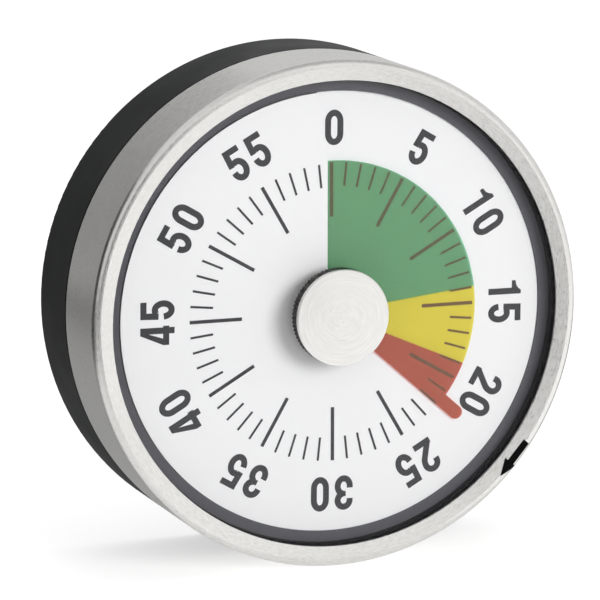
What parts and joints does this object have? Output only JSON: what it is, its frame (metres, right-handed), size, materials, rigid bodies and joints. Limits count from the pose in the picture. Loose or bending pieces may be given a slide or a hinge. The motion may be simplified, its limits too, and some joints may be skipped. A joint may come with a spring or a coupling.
{
  "type": "visual countdown timer",
  "caption": "Round magnetic countdown timer: black base, turning brushed steel front with a knurled knob, clear lens, numbered dial and a coloured film that shows the time left.",
  "frame": {"origin": "centre of the flat magnetic back", "axes": "+Y out of the back into the surface that holds it, dial looking along -Y, +Z towards the 0 of the dial, +X to the right as the dial is read"},
  "size_m": [0.078, 0.0291, 0.078],
  "materials": {
    "base_plastic": "satin moulded",
    "frame_plastic": "satin moulded",
    "case_steel": "circular brushed",
    "knob_steel": "fine turned",
    "knob_plastic": "knurled",
    "lens_clear": "clear polished",
    "dial_white": "printed matt",
    "film_green": "tinted film",
    "film_yellow": "tinted film",
    "film_red": "tinted film",
    "hub_plastic": "moulded",
    "carrier_plastic": "moulded",
    "magnet_ferrite": "ground",
    "screw_zinc": "zinc plated",
    "plate_steel": "rolled",
    "arbor_steel": "ground",
    "spring_steel": "blued",
    "movement_brass": "stamped",
    "bell_steel": "plated"
  },
  "bodies": {
    "base": {"base_cup": "base_plastic", "back_magnet": "magnet_ferrite", "case_screws": "screw_zinc", "rear_plate": "plate_steel", "front_plate": "plate_steel", "plate_pillars": "movement_brass", "plate_screws": "screw_zinc", "arbor_bushes": "movement_brass", "spring_post": "arbor_steel", "bell_cup": "bell_steel", "bell_stud": "movement_brass", "bell_screw": "screw_zinc", "dial_carrier": "carrier_plastic", "dial": "dial_white"},
    "front": {"steel_ring": "case_steel", "lens_frame": "frame_plastic", "lens": "lens_clear", "knob_core": "knob_plastic", "knob_cap": "knob_steel", "main_arbor": "arbor_steel", "arbor_clip": "spring_steel", "great_wheel": "movement_brass", "release_cam": "carrier_plastic", "mainspring": "spring_steel"},
    "film": {"film_hub": "hub_plastic", "film_green": "film_green", "film_yellow": "film_yellow", "film_red": "film_red"},
    "second_set": {"second_arbor": "arbor_steel", "second_wheel": "movement_brass", "second_pinion": "movement_brass"},
    "third_set": {"third_arbor": "arbor_steel", "third_wheel": "movement_brass", "third_pinion": "movement_brass"},
    "escape_set": {"escape_arbor": "arbor_steel", "escape_wheel": "movement_brass", "escape_pinion": "movement_brass"},
    "pallet_set": {"pallet_arbor": "arbor_steel", "pallet_lever": "plate_steel", "pallet_pins": "arbor_steel", "balance_bar": "movement_brass"},
    "hammer_set": {"hammer_arbor": "arbor_steel", "hammer_arm": "plate_steel", "hammer_head": "arbor_steel"},
    "release_set": {"release_lever": "plate_steel"}
  },
  "joints": [
    {"name": "front_turn", "type": "hinge", "parent": "base", "child": "front", "pos_m": [0, 0, 0], "axis": [0, -1, 0], "range_deg": [-222.5, 131.5], "deforming": ["mainspring"]},
    {"name": "film_lift", "type": "slide", "parent": "front", "child": "film", "axis": [0, -1, 0], "range_m": [-0.0004, 0.00065]},
    {"name": "second_spin", "type": "hinge", "parent": "base", "child": "second_set", "pos_m": [-0.01819, -0.014, 0.0105], "axis": [0, -1, 0], "range_deg": [-790, 1336]},
    {"name": "third_spin", "type": "hinge", "parent": "base", "child": "third_set", "pos_m": [-0.02067, -0.014, -0.00368], "axis": [0, -1, 0], "range_deg": [-6676, 3946]},
    {"name": "escape_spin", "type": "hinge", "parent": "base", "child": "escape_set", "pos_m": [-0.01562, -0.014, -0.01404], "axis": [0, -1, 0], "range_deg": [-19730, 33380]},
    {"name": "pallet_rock", "type": "hinge", "parent": "base", "child": "pallet_set", "pos_m": [-0.00878, -0.014, -0.01908], "axis": [0, -1, 0], "range_deg": [-6, 6]},
    {"name": "hammer_swing", "type": "hinge", "parent": "base", "child": "hammer_set", "pos_m": [0.01839, -0.009, 0.01543], "axis": [0, -1, 0], "range_deg": [0, 8], "stiffness_Nm_per_rad": 0.0004, "springref_deg": -34.38},
    {"name": "release_lift", "type": "hinge", "parent": "base", "child": "release_set", "pos_m": [0.01858, -0.014, -0.00866], "axis": [0, 1, 0], "range_deg": [0, 6], "stiffness_Nm_per_rad": 0.0002, "springref_deg": -28.65}
  ],
  "couplings": [
    {"joint": "film_lift", "follows": "front_turn", "m_per_rad": -0.00015915},
    {"joint": "second_spin", "follows": "front_turn", "ratio": -6},
    {"joint": "third_spin", "follows": "front_turn", "ratio": 30},
    {"joint": "escape_spin", "follows": "front_turn", "ratio": -150}
  ]
}
